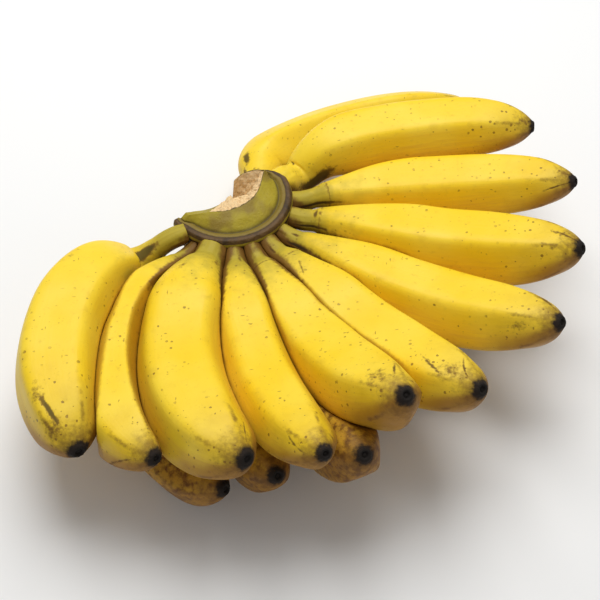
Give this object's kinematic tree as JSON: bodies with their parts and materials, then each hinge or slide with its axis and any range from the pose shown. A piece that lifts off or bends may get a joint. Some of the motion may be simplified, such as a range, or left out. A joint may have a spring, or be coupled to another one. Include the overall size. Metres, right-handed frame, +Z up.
{
  "type": "hand of bananas",
  "caption": "Hand of small ripe bananas lying down, two rows of curved ridged fingers joined at one cut crown.",
  "frame": {"origin": "on the surface that the hand lies on, under the middle of the whole hand's box", "axes": "+Z up from the surface; -Y towards the front fingers that point at the viewer; +X towards the fingers that point to the right"},
  "size_m": [0.2554, 0.2662, 0.085],
  "materials": {
    "crown_peel": "matte green and tan, fibrous where it was cut",
    "upper_peel": "satin ripe peel, yellow with brown flecks and dark ends",
    "lower_peel": "satin riper peel, ochre with brown flecks and dark ends"
  },
  "bodies": {
    "root": {"crown": "crown_peel", "upper_finger_01": "upper_peel", "upper_finger_02": "upper_peel", "upper_finger_03": "upper_peel", "upper_finger_04": "upper_peel", "upper_finger_05": "upper_peel", "upper_finger_06": "upper_peel", "upper_finger_07": "upper_peel", "upper_finger_08": "upper_peel", "upper_finger_09": "upper_peel", "upper_finger_10": "upper_peel", "lower_finger_01": "lower_peel", "lower_finger_02": "lower_peel", "lower_finger_03": "lower_peel", "lower_finger_04": "lower_peel", "lower_finger_05": "lower_peel", "lower_finger_06": "lower_peel", "lower_finger_07": "lower_peel"}
  },
  "joints": []
}
